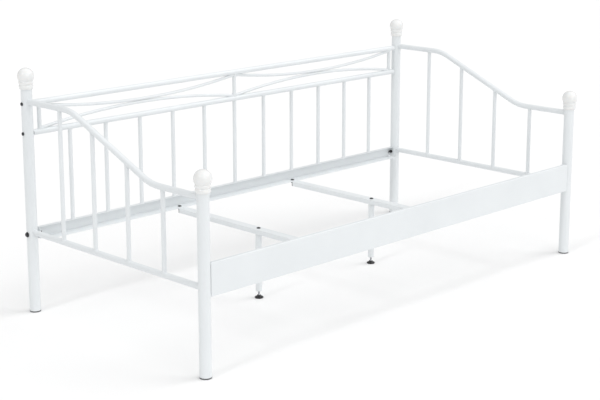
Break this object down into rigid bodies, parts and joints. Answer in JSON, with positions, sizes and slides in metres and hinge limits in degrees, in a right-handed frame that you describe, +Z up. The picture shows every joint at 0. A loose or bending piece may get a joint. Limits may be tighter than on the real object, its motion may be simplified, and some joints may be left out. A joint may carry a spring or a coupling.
{
  "type": "daybed",
  "caption": "Steel-tube daybed frame with ball finials, curved end panels, a barred back panel with scroll wires, ledges for slats and centre legs on levelling feet.",
  "frame": {"origin": "on the floor under the middle of the frame", "axes": "+X along the length of the bed, +Y from the open front to the back panel, +Z up"},
  "size_m": [2.122, 1.032, 0.929],
  "materials": {
    "white_powder_coat": "satin white powder coat",
    "white_plastic": "white moulded plastic, soft gloss",
    "grey_plastic": "dark grey moulded plastic",
    "black_plastic": "black moulded plastic",
    "zinc_steel": "bright zinc plated",
    "black_fasteners": "black zinc plated"
  },
  "bodies": {
    "frame": {"back_mid_rail": "white_powder_coat", "back_side_rail": "white_powder_coat", "back_spindle_01": "white_powder_coat", "back_spindle_02": "white_powder_coat", "back_spindle_03": "white_powder_coat", "back_spindle_04": "white_powder_coat", "back_spindle_05": "white_powder_coat", "back_spindle_06": "white_powder_coat", "back_spindle_07": "white_powder_coat", "back_spindle_08": "white_powder_coat", "back_spindle_09": "white_powder_coat", "back_spindle_10": "white_powder_coat", "back_spindle_11": "white_powder_coat", "back_strut_centre": "white_powder_coat", "back_strut_left": "white_powder_coat", "back_strut_right": "white_powder_coat", "back_top_rail": "white_powder_coat", "beam_end_plugs": "black_plastic", "corner_bolts": "black_fasteners", "cross_beam_bolts": "black_fasteners", "cross_beam_left": "white_powder_coat", "cross_beam_right": "white_powder_coat", "end_bottom_rail_left": "white_powder_coat", "end_bottom_rail_right": "white_powder_coat", "end_spindle_left_1": "white_powder_coat", "end_spindle_left_2": "white_powder_coat", "end_spindle_left_3": "white_powder_coat", "end_spindle_left_4": "white_powder_coat", "end_spindle_right_1": "white_powder_coat", "end_spindle_right_2": "white_powder_coat", "end_spindle_right_3": "white_powder_coat", "end_spindle_right_4": "white_powder_coat", "end_top_rail_left": "white_powder_coat", "end_top_rail_right": "white_powder_coat", "finial_back_left": "white_plastic", "finial_back_right": "white_plastic", "finial_front_left": "white_plastic", "finial_front_right": "white_plastic", "foot_cap_back_left": "grey_plastic", "foot_cap_back_right": "grey_plastic", "foot_cap_front_left": "grey_plastic", "foot_cap_front_right": "grey_plastic", "front_side_rail": "white_powder_coat", "post_back_left": "white_powder_coat", "post_back_right": "white_powder_coat", "post_front_left": "white_powder_coat", "post_front_right": "white_powder_coat", "rail_end_tabs": "white_powder_coat", "scroll_wire_lower_left": "white_powder_coat", "scroll_wire_lower_right": "white_powder_coat", "scroll_wire_upper_left": "white_powder_coat", "scroll_wire_upper_right": "white_powder_coat", "slat_ledges": "white_powder_coat", "support_leg_left": "white_powder_coat", "support_leg_right": "white_powder_coat", "threaded_inserts": "black_fasteners"},
    "pad_left": {"levelling_pad_left": "black_plastic"},
    "screw_left": {"levelling_screw_left": "zinc_steel"},
    "pad_right": {"levelling_pad_right": "black_plastic"},
    "screw_right": {"levelling_screw_right": "zinc_steel"}
  },
  "joints": [
    {"name": "pad_left_height", "type": "slide", "parent": "frame", "child": "pad_left", "axis": [0, 0, -1], "range_m": [-0.012, 0.015]},
    {"name": "screw_left_turn", "type": "hinge", "parent": "pad_left", "child": "screw_left", "pos_m": [-0.325, 0, 0.03], "axis": [0, 0, -1], "range_deg": [-3470, 4334]},
    {"name": "pad_right_height", "type": "slide", "parent": "frame", "child": "pad_right", "axis": [0, 0, -1], "range_m": [-0.012, 0.015]},
    {"name": "screw_right_turn", "type": "hinge", "parent": "pad_right", "child": "screw_right", "pos_m": [0.325, 0, 0.03], "axis": [0, 0, -1], "range_deg": [-3470, 4334]}
  ],
  "couplings": [
    {"joint": "screw_left_turn", "follows": "pad_left_height", "rad_per_m": 5026.5},
    {"joint": "screw_right_turn", "follows": "pad_right_height", "rad_per_m": 5026.5}
  ]
}
